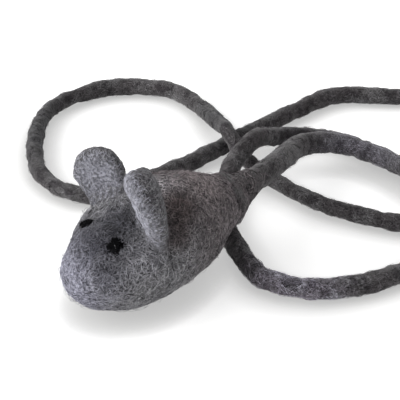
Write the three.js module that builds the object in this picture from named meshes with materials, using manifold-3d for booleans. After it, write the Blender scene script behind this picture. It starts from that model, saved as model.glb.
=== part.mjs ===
// Catnip mouse: a needle-felted wool body over a catnip pouch, two felt ears, two wool eyes, one long felt rope tail.
// Millimetres. +Z is up, the nose points to -Y and the floor under the middle of the body is the origin.
import * as THREE from 'three';
import { mergeVertices } from 'three/addons/utils/BufferGeometryUtils.js';
import Module from 'manifold-3d';

const wasm = await Module();
wasm.setup();

// Body
const bodyLength = 106;
const bodyWidth = 62.4;
const bodyHeight = 60.6;
const rumpRise = 8;
const bellyFlat = 0.5;
const skin = 10;

// Half of the body seen from above: share of the length behind the nose, then share of the half width.
const outlineShares = [
  [0, 0], [0.015, 0.235], [0.04, 0.385], [0.12, 0.665], [0.25, 0.885], [0.4, 1],
  [0.55, 0.98], [0.7, 0.865], [0.82, 0.68], [0.92, 0.445], [0.975, 0.26], [1, 0],
];

// Catnip pouch inside the wool core
const pouchLength = 48;
const pouchWidth = 24;
const pouchHeight = 22;
const pouchFromNose = 49;
const seamWidth = 1.2;
const seamLength = 20;

// Eyes: wool tufts, half sunk into the head
const eyeFromNose = 21.2;
const eyeSpreadAngle = 57;
const eyeWidth = 6.6;
const eyeThickness = 4.6;
const eyeSink = 0.9;

// Ears: thick felt discs, dished to the front, each bending on a root let into the head
const earFromNose = 40.5;
const earSpread = 18.5;
const earDepth = 3.5;
const earRadius = 13.5;
const earHeightShare = 1.03;
const earDiscRise = 16;
const earThickness = 6.4;
const earDish = 2.5;
const earRootLength = 21;
const earToeAngleLeft = 19;
const earToeAngleRight = 27;
const earLeanAngle = 8;
const earTiltAngle = 9;
const earRootSlopeAngle = 32;
const earFlexAngle = 28;
const flexRoom = 0.8;
const grooveHeight = 13;
const grooveRunOut = 2;
const neckArcShare = 0.85;

// Tail: a felted flare on the rump that runs on as one limp rope
const tailSwingAngle = 13;
const tailDipAngle = 1.5;
const stubWidth = 9;
const stubDepth = 15;
const flareStart = 6;
const flareWidth = 25;
const flareSwellWidth = 19.6;
const flareSwellAt = 8;
const flareNeckWidth = 16;
const flareNeckAt = 16;
const flareEndWidth = 13.4;
const flareLength = 28;
const ropeWidth = 11.5;
const ropeStraight = 9;

// Route of the rope from its straight start to its bare end, as it lies on the floor
const lying = 6.4;
const ropeRoute = [
  [-19, 112, 27.6], [-29, 141, 22.5], [-23, 163, 17.5], [3, 175.5, 14.6], [36, 172, 17], [63, 160, 19.9],
  [82, 137, 12], [84, 106, lying], [67, 60, lying], [40, 44.5, lying], [8, 53, lying], [-25, 71, 8.2],
  [-45, 95, 15.7], [-53, 118, 22.6], [-62, 147, 12.4], [-57, 171, 6.6], [-35, 186, lying], [8, 188.5, lying],
  [42, 184, lying], [64, 171, lying], [66, 151, lying], [45, 133, lying], [6, 120, lying], [-34, 116.5, lying],
  [-58, 116.5, 10.4], [-79, 122, 19.6], [-104, 134, 13.6], [-133, 147, lying], [-173, 147, lying], [-203, 113, lying],
  [-200, 65, lying], [-163, 26, lying], [-120, 9, lying], [-88, 18, lying], [-77, 48, lying], [-87, 190, lying],
  [-86, 230, lying], [-52, 270, lying],
];

// Clearance between felt layers, and how far a cutting form runs past what it cuts
const gap = 0.3;
const overrun = 5;

// Facets
const bodyColumns = 44;
const bodyRows = 32;
const coreColumns = 28;
const coreRows = 18;
const earFacets = 28;
const dishSteps = 6;
const rimSteps = 6;
const eyeFacets = 14;
const roundFacets = 20;
const ropeSides = 12;
const ropeSteps = 78;
const mergeDistance = 1e-3;

// Colours of the felt
const bodyGrey = '#77757a';
const coreGrey = '#8c8984';
const catnipGreen = '#6f7650';
const earGrey = '#85848e';
const eyeBlack = '#17161a';
const ropeGrey = '#4a494c';

const degree = Math.PI / 180;

// Solids as meshes, for joining and cutting
function toSolid(geometry) {
  const plain = geometry.clone();
  plain.deleteAttribute('normal');
  plain.deleteAttribute('uv');
  const merged = mergeVertices(plain, mergeDistance);
  const corners = [];
  for (let i = 0; i < merged.index.count; i += 3) {
    const [a, b, c] = merged.index.array.slice(i, i + 3);
    if (a !== b && b !== c && c !== a) {
      corners.push(a, b, c);
    }
  }
  const vertProperties = new Float32Array(merged.attributes.position.array);
  const mesh = new wasm.Mesh({ numProp: 3, vertProperties, triVerts: new Uint32Array(corners) });
  mesh.merge();
  return new wasm.Manifold(mesh);
}

function toGeometry(solid) {
  const mesh = solid.getMesh();
  const geometry = new THREE.BufferGeometry();
  geometry.setAttribute('position', new THREE.BufferAttribute(mesh.vertProperties, 3));
  geometry.setIndex(new THREE.BufferAttribute(mesh.triVerts, 1));
  geometry.computeVertexNormals();
  return geometry;
}

// Outline of the body
const outline = new THREE.CatmullRomCurve3(
  outlineShares.map(([along, wide]) => new THREE.Vector3(along, wide, 0)),
  false,
  'centripetal',
);

function rise(along) {
  return rumpRise * Math.sin((along * Math.PI) / 2);
}

function lowestPoint() {
  const steps = bodyRows * bodyColumns;
  let low = Infinity;
  for (let i = 0; i <= steps; i += 1) {
    const { x: along, y: wide } = outline.getPoint(i / steps);
    low = Math.min(low, rise(along) - (bodyHeight / 2) * wide);
  }
  return low;
}

// Height of the middle line, which leaves the belly a flat to rest on
const settle = -lowestPoint() - bellyFlat;

function middleHeight(along) {
  return settle + rise(along);
}

function wideAt(along) {
  let low = 0;
  let high = 1;
  for (let i = 0; i < bodyRows; i += 1) {
    const middle = (low + high) / 2;
    if (outline.getPoint(middle).x < along) {
      low = middle;
    } else {
      high = middle;
    }
  }
  return outline.getPoint(low).y;
}

function bodyPoint(along, angle) {
  const wide = wideAt(along);
  return new THREE.Vector3(
    (bodyWidth / 2) * wide * Math.cos(angle),
    bodyLength * along - bodyLength / 2,
    middleHeight(along) + (bodyHeight / 2) * wide * Math.sin(angle),
  );
}

// Body form, smaller by the inset all round
function bodyForm(inset, columns, rows) {
  const geometry = new THREE.SphereGeometry(1, columns, rows);
  const position = geometry.attributes.position;
  for (let i = 0; i < position.count; i += 1) {
    const unit = new THREE.Vector3().fromBufferAttribute(position, i);
    const turn = Math.acos(THREE.MathUtils.clamp(-unit.y, -1, 1)) / Math.PI;
    const { x: along, y: wide } = outline.getPoint(turn);
    const ring = Math.max(Math.hypot(unit.x, unit.z), mergeDistance);
    position.setXYZ(
      i,
      ((bodyWidth / 2 - inset) * wide * unit.x) / ring,
      (bodyLength / 2 - inset) * (2 * along - 1),
      middleHeight(along) + ((bodyHeight / 2 - inset) * wide * unit.z) / ring,
    );
  }
  return toSolid(geometry);
}

// Floor block that cuts the belly flat
function floorBlock() {
  const block = new THREE.BoxGeometry(bodyWidth, bodyLength, bellyFlat + overrun);
  return toSolid(block.translate(0, 0, -(bellyFlat + overrun) / 2));
}

// Frame of an ear: x along the ear's width, y up the ear, z out of its front
function earFrame(side) {
  const toe = (side > 0 ? earToeAngleLeft : earToeAngleRight) * degree;
  const level = new THREE.Vector3(-side * Math.sin(toe), -Math.cos(toe), 0);
  const out = new THREE.Vector3(side * Math.cos(toe), -Math.sin(toe), 0);
  const up = new THREE.Vector3(0, 0, 1);
  const leaning = up.clone().multiplyScalar(Math.cos(earLeanAngle * degree));
  leaning.addScaledVector(level, Math.sin(earLeanAngle * degree));
  const front = level.clone().multiplyScalar(Math.cos(earLeanAngle * degree));
  front.addScaledVector(up, -Math.sin(earLeanAngle * degree));
  const upward = leaning.clone().multiplyScalar(Math.cos(earTiltAngle * degree));
  upward.addScaledVector(out, Math.sin(earTiltAngle * degree));
  const across = new THREE.Vector3().crossVectors(upward, front);
  const along = earFromNose / bodyLength;
  const angle = Math.acos(earSpread / ((bodyWidth / 2) * wideAt(along)));
  const root = bodyPoint(along, angle);
  root.x *= side;
  root.z -= earDepth;
  return new THREE.Matrix4().makeBasis(across, upward, front).setPosition(root);
}

// Turn of the bending line inside the ear's own frame
function rootTurn(side) {
  return -side * (earRootSlopeAngle - earTiltAngle) * degree;
}

function earDisc() {
  const half = earThickness / 2;
  const flatRadius = earRadius - half;
  const sag = (radius) => earDish * ((radius / earRadius) ** 2 - 1);
  const profile = [];
  for (let i = 0; i <= dishSteps; i += 1) {
    const radius = (flatRadius * i) / dishSteps;
    profile.push(new THREE.Vector2(radius, sag(radius) - half));
  }
  for (let i = 1; i < rimSteps; i += 1) {
    const angle = (Math.PI * i) / rimSteps - Math.PI / 2;
    profile.push(new THREE.Vector2(flatRadius + half * Math.cos(angle), sag(flatRadius) + half * Math.sin(angle)));
  }
  for (let i = dishSteps; i >= 0; i -= 1) {
    const radius = (flatRadius * i) / dishSteps;
    profile.push(new THREE.Vector2(radius, sag(radius) + half));
  }
  const disc = new THREE.LatheGeometry(profile, earFacets);
  disc.rotateX(Math.PI / 2);
  disc.scale(1, earHeightShare, 1);
  return toSolid(disc.translate(0, earDiscRise, 0));
}

// Neck between the disc and the bending line, its top following the rim of the disc
function earNeck(side) {
  const turn = rootTurn(side);
  const wide = (earRootLength / 2) * Math.cos(turn);
  const low = (earRootLength / 2) * Math.sin(turn);
  const arcRadius = earRadius * neckArcShare;
  const start = Math.asin(Math.min(wide / arcRadius, 1));
  const corners = [new THREE.Vector2(-wide, -low), new THREE.Vector2(wide, low)];
  for (let i = 0; i <= roundFacets; i += 1) {
    const angle = start - (2 * start * i) / roundFacets;
    corners.push(new THREE.Vector2(arcRadius * Math.sin(angle), earDiscRise - arcRadius * Math.cos(angle)));
  }
  const neck = new THREE.Shape(corners);
  const slab = new THREE.ExtrudeGeometry(neck, { depth: earThickness, bevelEnabled: false });
  return toSolid(slab.translate(0, 0, -earThickness / 2));
}

function earRoot(side) {
  const root = new THREE.CylinderGeometry(earThickness / 2, earThickness / 2, earRootLength, roundFacets);
  root.rotateZ(-Math.PI / 2);
  return toSolid(root.rotateZ(rootTurn(side)));
}

function earSolid(side) {
  const joined = earDisc().add(earNeck(side)).add(earRoot(side));
  return joined.transform(earFrame(side).elements);
}

// Groove that lets the ear bend: round at the bottom, open by the flex angle to both sides
function earGroove(side) {
  const radius = earThickness / 2 + flexRoom;
  const flex = earFlexAngle * degree;
  const reach = grooveHeight * Math.tan(flex) + radius / Math.cos(flex);
  const corners = [new THREE.Vector2(-reach, grooveHeight), new THREE.Vector2(reach, grooveHeight)];
  for (let i = 0; i <= roundFacets; i += 1) {
    const angle = -flex - (Math.PI - 2 * flex) * (i / roundFacets);
    corners.push(new THREE.Vector2(radius * Math.cos(angle), radius * Math.sin(angle)));
  }
  const groove = new THREE.Shape(corners);
  const depth = earRootLength + 2 * gap + grooveRunOut;
  const outer = side > 0 ? gap : gap + grooveRunOut;
  const block = new THREE.ExtrudeGeometry(groove, { depth, bevelEnabled: false });
  block.rotateY(-Math.PI / 2);
  block.translate(earRootLength / 2 + outer, 0, 0);
  block.rotateZ(rootTurn(side));
  return toSolid(block).transform(earFrame(side).elements);
}

// Eye tuft, or with room around it its socket
function eyeForm(side, room) {
  const along = eyeFromNose / bodyLength;
  const angle = eyeSpreadAngle * degree;
  const here = bodyPoint(along, angle);
  const step = 1 / bodyLength;
  const back = bodyPoint(along + step, angle).sub(here);
  const round = bodyPoint(along, angle + step).sub(here);
  const out = new THREE.Vector3().crossVectors(round, back).normalize();
  if (out.z < 0) {
    out.negate();
  }
  here.addScaledVector(out, -eyeSink);
  here.x *= side;
  out.x *= side;
  const ball = new THREE.SphereGeometry(1, eyeFacets, eyeFacets);
  ball.scale(eyeWidth / 2 + room, eyeThickness / 2 + room, eyeWidth / 2 + room);
  ball.applyQuaternion(new THREE.Quaternion().setFromUnitVectors(new THREE.Vector3(0, 1, 0), out));
  return toSolid(ball.translate(here.x, here.y, here.z));
}

// Frame of the tail's start: y points out of the rump along the rope
function tailFrame() {
  const rump = new THREE.Vector3(0, bodyLength / 2, middleHeight(1));
  const aim = new THREE.Vector3(
    -Math.sin(tailSwingAngle * degree) * Math.cos(tailDipAngle * degree),
    Math.cos(tailSwingAngle * degree) * Math.cos(tailDipAngle * degree),
    -Math.sin(tailDipAngle * degree),
  );
  const turn = new THREE.Quaternion().setFromUnitVectors(new THREE.Vector3(0, 1, 0), aim);
  return new THREE.Matrix4().compose(rump, turn, new THREE.Vector3(1, 1, 1));
}

function lathed(profile) {
  const points = profile.map(([radius, along]) => new THREE.Vector2(radius, along));
  return toSolid(new THREE.LatheGeometry(points, earFacets)).transform(tailFrame().elements);
}

function stub(room) {
  const radius = stubWidth / 2 + room;
  return lathed([[0, -stubDepth - room], [radius, -stubDepth - room], [radius, overrun], [0, overrun]]);
}

// Flare felted onto the rump, hollowed to sit over it
function flare() {
  const solid = lathed([
    [0, -flareStart],
    [flareWidth / 2, -flareStart],
    [flareWidth / 2, 0],
    [flareSwellWidth / 2, flareSwellAt],
    [flareNeckWidth / 2, flareNeckAt],
    [flareEndWidth / 2, flareLength],
    [0, flareLength],
  ]);
  return solid.subtract(bodyForm(-gap, bodyColumns, bodyRows));
}

function tailRoot() {
  return flare().add(stub(0));
}

// Rope of the tail
function tailRope() {
  const start = new THREE.Vector3(0, flareLength + gap, 0).applyMatrix4(tailFrame());
  const straight = new THREE.Vector3(0, flareLength + gap + ropeStraight, 0).applyMatrix4(tailFrame());
  const points = ropeRoute.map(([x, y, z]) => new THREE.Vector3(x, y, z));
  const path = new THREE.CatmullRomCurve3([start, straight, ...points], false, 'centripetal');
  const corners = [];
  for (let i = 0; i < ropeSides; i += 1) {
    const angle = (2 * Math.PI * i) / ropeSides;
    corners.push(new THREE.Vector2((ropeWidth / 2) * Math.cos(angle), (ropeWidth / 2) * Math.sin(angle)));
  }
  const round = new THREE.Shape(corners);
  return new THREE.ExtrudeGeometry(round, { steps: ropeSteps, bevelEnabled: false, extrudePath: path });
}

// Catnip pouch: an ellipsoid, or with room around it its pocket in the core
function pouch(room) {
  const along = pouchFromNose / bodyLength;
  const ball = new THREE.SphereGeometry(1, coreColumns, coreRows);
  ball.scale(pouchWidth / 2 + room, pouchLength / 2 + room, pouchHeight / 2 + room);
  return toSolid(ball.translate(0, pouchFromNose - bodyLength / 2, middleHeight(along)));
}

// Seam where the wool is wrapped round the pouch, open underneath
function wrapSeam() {
  const slot = new THREE.BoxGeometry(seamWidth, seamLength, bodyHeight / 2);
  const middle = middleHeight(pouchFromNose / bodyLength);
  return toSolid(slot.translate(0, pouchFromNose - bodyLength / 2, middle - bodyHeight / 4));
}

function bodyShell() {
  let shell = bodyForm(0, bodyColumns, bodyRows).subtract(bodyForm(skin, coreColumns, coreRows));
  shell = shell.subtract(floorBlock()).subtract(stub(gap));
  for (const side of [1, -1]) {
    shell = shell.subtract(earGroove(side)).subtract(eyeForm(side, gap));
  }
  return shell;
}

function woolCore() {
  const core = bodyForm(skin + gap, coreColumns, coreRows);
  return core.subtract(pouch(gap)).subtract(wrapSeam()).subtract(stub(gap));
}

// Assembly
const group = new THREE.Group();
group.name = 'catnip_mouse';

function addPiece(name, geometry, color) {
  const material = new THREE.MeshStandardMaterial({ color, roughness: 1, metalness: 0 });
  const mesh = new THREE.Mesh(geometry, material);
  mesh.name = name;
  group.add(mesh);
}

addPiece('body_shell', toGeometry(bodyShell()), bodyGrey);
addPiece('wool_core', toGeometry(woolCore()), coreGrey);
addPiece('catnip_filling', toGeometry(pouch(0)), catnipGreen);
addPiece('ear_left', toGeometry(earSolid(1)), earGrey);
addPiece('ear_right', toGeometry(earSolid(-1)), earGrey);
addPiece('eye_left', toGeometry(eyeForm(1, 0)), eyeBlack);
addPiece('eye_right', toGeometry(eyeForm(-1, 0)), eyeBlack);
addPiece('tail_root', toGeometry(tailRoot()), ropeGrey);
addPiece('tail', tailRope(), ropeGrey);

export default group;
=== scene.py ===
# %% [markdown]
# # A felted catnip mouse
# A handmade cat toy: a plump body of needle-felted wool, two thick felt ears, two wool eyes and one
# long felt rope for a tail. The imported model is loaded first. It is the frame that every soft piece
# below is fitted to.

# %% Load the frame
import math
import random

import bmesh
import bpy
from mathutils import Matrix, Vector, noise
from mathutils.bvhtree import BVHTree
from mathutils.kdtree import KDTree


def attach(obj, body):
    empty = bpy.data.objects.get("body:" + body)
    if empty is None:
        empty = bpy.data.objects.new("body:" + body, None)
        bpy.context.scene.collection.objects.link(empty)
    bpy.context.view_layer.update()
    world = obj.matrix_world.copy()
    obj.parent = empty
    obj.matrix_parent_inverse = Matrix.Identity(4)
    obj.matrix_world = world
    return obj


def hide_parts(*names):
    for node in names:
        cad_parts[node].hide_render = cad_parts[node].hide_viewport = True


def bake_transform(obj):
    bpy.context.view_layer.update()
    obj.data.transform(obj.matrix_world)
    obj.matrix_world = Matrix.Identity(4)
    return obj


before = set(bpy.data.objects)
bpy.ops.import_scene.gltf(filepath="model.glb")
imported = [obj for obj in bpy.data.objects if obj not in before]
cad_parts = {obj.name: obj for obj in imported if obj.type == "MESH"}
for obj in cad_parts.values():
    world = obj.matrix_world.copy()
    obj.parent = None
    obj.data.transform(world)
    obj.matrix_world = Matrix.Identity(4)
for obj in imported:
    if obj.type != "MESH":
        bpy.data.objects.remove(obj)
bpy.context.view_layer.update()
MM = 0.001
print("nodes", sorted(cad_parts))

# %% [markdown]
# The camera looks down at the toy from the front left. Its place, angle and lens are worked out so
# that the body, the ears and every strand of the tail fall where they do in the photograph.

# %% Camera
LOOK_AT = Vector((-48.15, 71.96, 0)) * MM
LOOK_AZIMUTH = math.radians(50.2)
LOOK_ELEVATION = math.radians(32)
LOOK_DISTANCE = 570 * MM
LENS_MM = 84.5

back = Vector((
    math.sin(LOOK_AZIMUTH) * math.cos(LOOK_ELEVATION),
    -math.cos(LOOK_AZIMUTH) * math.cos(LOOK_ELEVATION),
    math.sin(LOOK_ELEVATION),
))
camera_data = bpy.data.cameras.new("camera")
camera_data.lens = LENS_MM
camera = bpy.data.objects.new("camera", camera_data)
camera.location = LOOK_AT + back * LOOK_DISTANCE
camera.rotation_euler = back.to_track_quat("Z", "Y").to_euler()
bpy.context.scene.collection.objects.link(camera)
bpy.context.scene.camera = camera
print("camera at", [round(v, 4) for v in camera.location])

# %% [markdown]
# The outline of the body, the outline of an ear and the route of the tail are smooth curves through a
# few chosen points. One small function gives a point on such a curve. It weights the tangents by the
# square root of the spacing, so that the curve makes no loops or cusps where the points lie close
# together.

# %% Smooth curve through points
def curve_point(points, share):
    """The point at a share, from 0 to 1, of the way through the list."""
    span = share * (len(points) - 1)
    first = min(int(span), len(points) - 2)
    step = span - first
    b, c = points[first], points[first + 1]
    a = points[first - 1] if first > 0 else b * 2 - c
    d = points[first + 2] if first + 2 < len(points) else c * 2 - b
    before, here, after = ((p - q).length ** 0.5 for p, q in ((b, a), (c, b), (d, c)))
    leave = ((b - a) / before - (c - a) / (before + here) + (c - b) / here) * here
    arrive = ((c - b) / here - (d - b) / (here + after) + (d - c) / after) * here
    bend = (c - b) * 3 - leave * 2 - arrive
    turn = (b - c) * 2 + leave + arrive
    return b + leave * step + bend * step ** 2 + turn * step ** 3


def between(pairs, value):
    """Straight steps through pairs of a place and an amount."""
    for (a, low), (b, high) in zip(pairs, pairs[1:]):
        if value <= b:
            return low + (high - low) * max(0, (value - a) / (b - a))
    return pairs[-1][1]


# %% [markdown]
# The body's form comes from one outline: each pair is a share of the length, and how wide the body is
# there as a share of its half width. The rump stands higher than the snout, and the belly is pressed
# flat where the toy lies on the floor.

# %% Body outline
BODY_LENGTH = 106 * MM
BODY_WIDTH = 62.4 * MM
BODY_HEIGHT = 60.6 * MM
RUMP_RISE = 8 * MM
BELLY_FLAT = 0.5 * MM
OUTLINE = [Vector(pair + (0,)) for pair in (
    (0, 0), (0.015, 0.235), (0.04, 0.385), (0.12, 0.665), (0.25, 0.885), (0.4, 1), (0.55, 0.98),
    (0.7, 0.865), (0.82, 0.68), (0.92, 0.445), (0.975, 0.26), (1, 0),
)]
OUTLINE_STEPS = 600
outline_table = [curve_point(OUTLINE, i / OUTLINE_STEPS) for i in range(OUTLINE_STEPS + 1)]


def rise(along):
    """How much higher the middle of the body is at a share of its length than at the snout."""
    return RUMP_RISE * math.sin(along * math.pi / 2)


settle = -min(rise(p.x) - BODY_HEIGHT / 2 * p.y for p in outline_table) - BELLY_FLAT
rump = Vector((0, BODY_LENGTH / 2, settle + rise(1)))
print("rump at", [round(v, 4) for v in rump])

# %% [markdown]
# The tail leaves the rump and runs as one limp rope: over its own far strands, round a wide arc under
# the rump, back over itself, and out into a big loop round the head, until it lies flat on the floor
# with a bare end. The points are those of the solid's route, some of them moved by a few millimetres
# to where the photograph shows the rope. Places and radii in the lists are in millimetres.

# %% Route of the tail
TAIL_SWING = math.radians(13)
TAIL_DIP = math.radians(1.5)
FLARE_LENGTH = 28 * MM
FLARE_PROFILE = [
    (-16, 9), (-11, 12), (-6, 12.8), (-1, 11.9), (5, 10.4), (10, 9.2), (16, 8.2), (22, 7.5),
    (28, 7.1), (32, 6.6),
]
FELT_GAP = 0.3 * MM
ROPE_STRAIGHT = 9 * MM
LYING = 6.4
ROPE_POINTS = [
    (-19, 112, 27.6), (-29, 141, 22.5), (-23.6, 163.8, 17.5), (2.5, 176.3, 14.6), (36, 172, 17),
    (63, 160, 19.9), (82, 137, 12), (84, 106, LYING), (67.5, 59.4, LYING), (41.3, 42.2, LYING),
    (8.3, 50.2, LYING), (-25.9, 69.6, 8.2), (-45.5, 95, 15.7), (-53, 118, 22.6), (-62, 147, 12.4),
    (-57, 171, 6.6), (-33.4, 183.7, LYING), (8, 188.5, LYING), (42, 184, LYING), (64, 171, LYING),
    (66, 151, LYING), (45.2, 132.6, LYING), (7.5, 117.7, LYING), (-33.2, 115.2, LYING),
    (-57.7, 115.6, 10.6), (-78.4, 119.7, 19.4), (-102.5, 130.9, 13.4), (-131.2, 144.3, LYING),
    (-171.2, 145.3, LYING), (-202.6, 112.7, LYING), (-202, 65.6, LYING), (-162.8, 26.2, LYING),
    (-119.2, 7.8, LYING), (-86.6, 17, LYING), (-78.3, 48.7, LYING), (-87.9, 190.6, LYING),
    (-87.1, 231, LYING), (-52, 270, LYING),
]
aim = Vector((
    -math.sin(TAIL_SWING) * math.cos(TAIL_DIP),
    math.cos(TAIL_SWING) * math.cos(TAIL_DIP),
    -math.sin(TAIL_DIP),
))
exit_point = rump + aim * (FLARE_LENGTH + FELT_GAP)
route = [exit_point, exit_point + aim * ROPE_STRAIGHT] + [Vector(p) * MM for p in ROPE_POINTS]
print("route has", len(route), "points")

# %% [markdown]
# A cord has one real length. The route is cut into thousands of short steps, whose lengths add up to
# it, and `at_run` looks up the place at any distance along the rope.

# %% Length of the route
ROUTE_SAMPLES = 4000
dense = [curve_point(route, i / ROUTE_SAMPLES) for i in range(ROUTE_SAMPLES + 1)]
run = [0]
for i in range(ROUTE_SAMPLES):
    run.append(run[-1] + (dense[i + 1] - dense[i]).length)
rope_length = run[-1]


def at_run(distance):
    """The point on the route at a distance along it."""
    low, high = 0, ROUTE_SAMPLES
    while high - low > 1:
        middle = (low + high) // 2
        if run[middle] < distance:
            low = middle
        else:
            high = middle
    share = (distance - run[low]) / (run[high] - run[low])
    return dense[low].lerp(dense[high], share)


print("rope is", round(rope_length, 4), "m long")

# %% [markdown]
# Shader maths reads best as plain sums, so one small class wraps a socket. Adding or multiplying two
# of these makes the Math node that does it, and every other node comes from `node`.

# %% Shader maths
class Maths:
    """A socket of a shader tree, with the sums that make Math nodes."""

    def __init__(self, tree, socket=None):
        self.tree = tree
        self.socket = socket

    def node(self, kind, sockets=None, output=0, **settings):
        """A node of a kind: its settings first, then its sockets, and one of its outputs back."""
        made = self.tree.nodes.new("ShaderNode" + kind)
        for name, value in settings.items():
            setattr(made, name, value)
        for name, value in (sockets or {}).items():
            if isinstance(value, Maths):
                self.tree.links.new(value.socket, made.inputs[name])
            else:
                made.inputs[name].default_value = value
        return Maths(self.tree, made.outputs[output])

    def maths(self, operation, first, second=0):
        """A Math node on one or two values."""
        return self.node("Math", {0: first, 1: second}, operation=operation)

    def __add__(self, other):
        return self.maths("ADD", self, other)

    def __sub__(self, other):
        return self.maths("SUBTRACT", self, other)

    def __mul__(self, other):
        return self.maths("MULTIPLY", self, other)

    def __rsub__(self, other):
        return self.maths("SUBTRACT", other, self)

    def __pow__(self, other):
        return self.maths("POWER", self, other)

    __radd__ = __add__
    __rmul__ = __mul__

    def size(self):
        return self.maths("ABSOLUTE", self)

    def clamp(self):
        return self.node("Clamp", {0: self})

    def spread(self, low, high, to_low=0, to_high=1):
        """Low to high becomes to_low to to_high, smoothly."""
        names = {"Value": self, "From Min": low, "From Max": high, "To Min": to_low, "To Max": to_high}
        return self.node("MapRange", names, interpolation_type="SMOOTHSTEP")

    def mix(self, first, second):
        """A colour that goes from the first to the second as this goes from 0 to 1."""
        return self.node("Mix", {0: self, 6: first, 7: second}, output=2, data_type="RGBA")

    def toned(self, share, tone):
        """This colour, multiplied by a tone as far as the share says."""
        factor = share.mix((1, 1, 1, 1), tone + (1,))
        return self.node("VectorMath", {0: self, 1: factor}, operation="MULTIPLY")


# %% [markdown]
# Felt is a tangle of curly fibres over darker gaps. The loose fibres on top are real strands, made
# further down. The tangle below them is in the material: a line is where a cloudy noise passes
# through its middle value, and two layers of such lines, each bent by its own noise, have no
# direction and no repeat. The bump raises the same lines.

# %% Felt material
WOOL_ROUGHNESS = 1
WOOL_SPECULAR = 0.1
WOOL_SHEEN_ROUGHNESS = 0.5
SHIFT_SHARES = (1, -0.7, 1.3)
NOISE_MIDDLE = 0.5
LINE_DISTORTION = 0.8
# Scale, width and shift of each layer of curly lines
BROAD_LINES = (210, 0.022, 0.11)
FINE_LINES = (390, 0.04, 0.37)
GRAIN_SHIFT = 0.21
GRAIN_SCALE = 1100
GRAIN_RANGE = (0.36, 0.64)
PATCH_SHIFT = 0.5
PATCH_SCALE = 120
PATCH_RANGE = (0.32, 0.68)
BUMP_DISTANCE = 0.5 * MM
LINE_HEIGHT_SHARE = 0.6
GRAIN_HEIGHT_SHARE = 0.5


def cloudy(maths, coordinates, scale, shift, detail=2, distortion=0):
    """A cloudy noise of a scale. Different shifts give clouds that have nothing to do with each other."""
    location = [shift * share for share in SHIFT_SHARES]
    moved = maths.node("Mapping", {"Vector": coordinates, "Location": location})
    names = {"Vector": moved, "Scale": scale, "Detail": detail, "Distortion": distortion}
    return maths.node("TexNoise", names)


def felt_lines(maths, coordinates, scale, width, shift):
    """Curly lines, 1 on a fibre and 0 between, about 1 / scale apart."""
    cloud = cloudy(maths, coordinates, scale, shift, detail=1, distortion=LINE_DISTORTION)
    return (cloud - NOISE_MIDDLE).size().spread(0, width, 1, 0)


def fabric(name, sheen):
    """A material with the constants of wool, and the start of its shader maths."""
    material = bpy.data.materials.new(name)
    material.use_nodes = True
    shader = material.node_tree.nodes["Principled BSDF"]
    shader.inputs["Roughness"].default_value = WOOL_ROUGHNESS
    shader.inputs["Specular IOR Level"].default_value = WOOL_SPECULAR
    shader.inputs["Sheen Weight"].default_value = sheen
    shader.inputs["Sheen Roughness"].default_value = WOOL_SHEEN_ROUGHNESS
    maths = Maths(material.node_tree)
    return material, shader, maths, maths.node("TexCoord", output=3)


def felt(name, gap, wool, light, tint=None, sheen=0.2, lines_share=0.5, height=0.4, blotch_share=0.3):
    """Felted cloth: grain and curly lines over darker gaps, with larger darker patches."""
    material, shader, maths, coordinates = fabric(name, sheen)
    tree = material.node_tree
    broad = felt_lines(maths, coordinates, *BROAD_LINES)
    fine = felt_lines(maths, coordinates, *FINE_LINES)
    lines = (broad + fine).clamp()
    grain = cloudy(maths, coordinates, GRAIN_SCALE, GRAIN_SHIFT).spread(*GRAIN_RANGE)
    patches = cloudy(maths, coordinates, PATCH_SCALE, PATCH_SHIFT, detail=3).spread(*PATCH_RANGE)
    colour = grain.mix(gap + (1,), wool + (1,))
    colour = (lines * lines_share).mix(colour, light + (1,))
    colour = (patches * blotch_share).mix(colour, gap + (1,))
    if tint:
        colour = tint(maths, coordinates, colour)
    tree.links.new(colour.socket, shader.inputs["Base Color"])
    relief = lines * LINE_HEIGHT_SHARE + grain * GRAIN_HEIGHT_SHARE
    raised = maths.node("Bump", {"Strength": height, "Distance": BUMP_DISTANCE, "Height": relief})
    tree.links.new(raised.socket, shader.inputs["Normal"])
    return material


# %% [markdown]
# The loose strands are too thin for a pattern of their own. Their material has one colour that drifts
# over the toy, so that neighbouring strands differ.

# %% Material of the loose fibres
DRIFT_SHIFT = 0.4
DRIFT_SCALE = 700
DRIFT_RANGE = (0.35, 0.65)


def loose_wool(name, dark, light, tint=None):
    """Loose fibres: one colour that drifts from strand to strand."""
    material, shader, maths, coordinates = fabric(name, 0)
    drift = cloudy(maths, coordinates, DRIFT_SCALE, DRIFT_SHIFT).spread(*DRIFT_RANGE)
    colour = drift.mix(dark + (1,), light + (1,))
    if tint:
        colour = tint(maths, coordinates, colour)
    material.node_tree.links.new(colour.socket, shader.inputs["Base Color"])
    return material


# %% [markdown]
# The wool is not of one tone: the back is brown, the snout is light and bluish, and the rope changes
# from one stretch to the next. The brow, the places round the eyes, behind the ears and before the left
# ear's root are dark with painted shade, and the top of the back has painted highlights. The rope has a
# painted shadow where it runs under the rump, and the arc beside the body is lighter partly as wool and
# partly as painted light. Each such place is a soft spot: a centre and a reach in millimetres, and the
# tone that the colour is multiplied by.

# %% Tones of the wool
FULL_TONE_SHARE = 0.25


def near(maths, coordinates, centre, reach):
    """1 at a place given in millimetres, falling to 0 at a reach."""
    names = {0: coordinates, 1: [number * MM for number in centre]}
    away = maths.node("VectorMath", names, output=1, operation="DISTANCE")
    return away.spread(reach * FULL_TONE_SHARE * MM, reach * MM, 1, 0)


def spotted(maths, coordinates, colour, tones):
    """A colour with soft spots of other tones."""
    for centre, reach, tone in tones:
        colour = colour.toned(near(maths, coordinates, centre, reach), tone)
    return colour


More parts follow.
